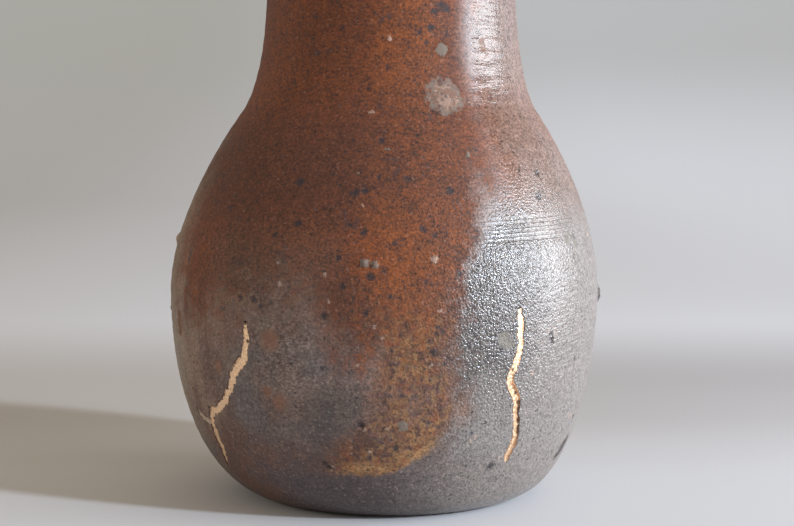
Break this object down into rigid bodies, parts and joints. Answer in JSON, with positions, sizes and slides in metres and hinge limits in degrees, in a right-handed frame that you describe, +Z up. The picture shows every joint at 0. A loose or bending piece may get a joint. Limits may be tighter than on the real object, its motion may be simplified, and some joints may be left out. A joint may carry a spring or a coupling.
{
  "type": "kintsugi vase",
  "caption": "Small wood-fired stoneware vase with a round belly, wide neck and flat foot, its cracks mended with gold lacquer seams.",
  "frame": {"origin": "on the ground under the middle of the belly, at the level of the flat foot", "axes": "+Z up through the neck; -Y is the front, with both gold seams; +X is to the right as seen from the front"},
  "size_m": [0.0948, 0.0948, 0.1309],
  "materials": {
    "fired_clay": "wood-fired stoneware: rust brown above, grey ash glaze below and on one side, pebbly half gloss",
    "gold_lacquer": "gold powder over lacquer, grainy satin"
  },
  "bodies": {
    "root": {"vase_body": "fired_clay", "gold_seam_left": "gold_lacquer", "gold_seam_right": "gold_lacquer"}
  },
  "joints": []
}
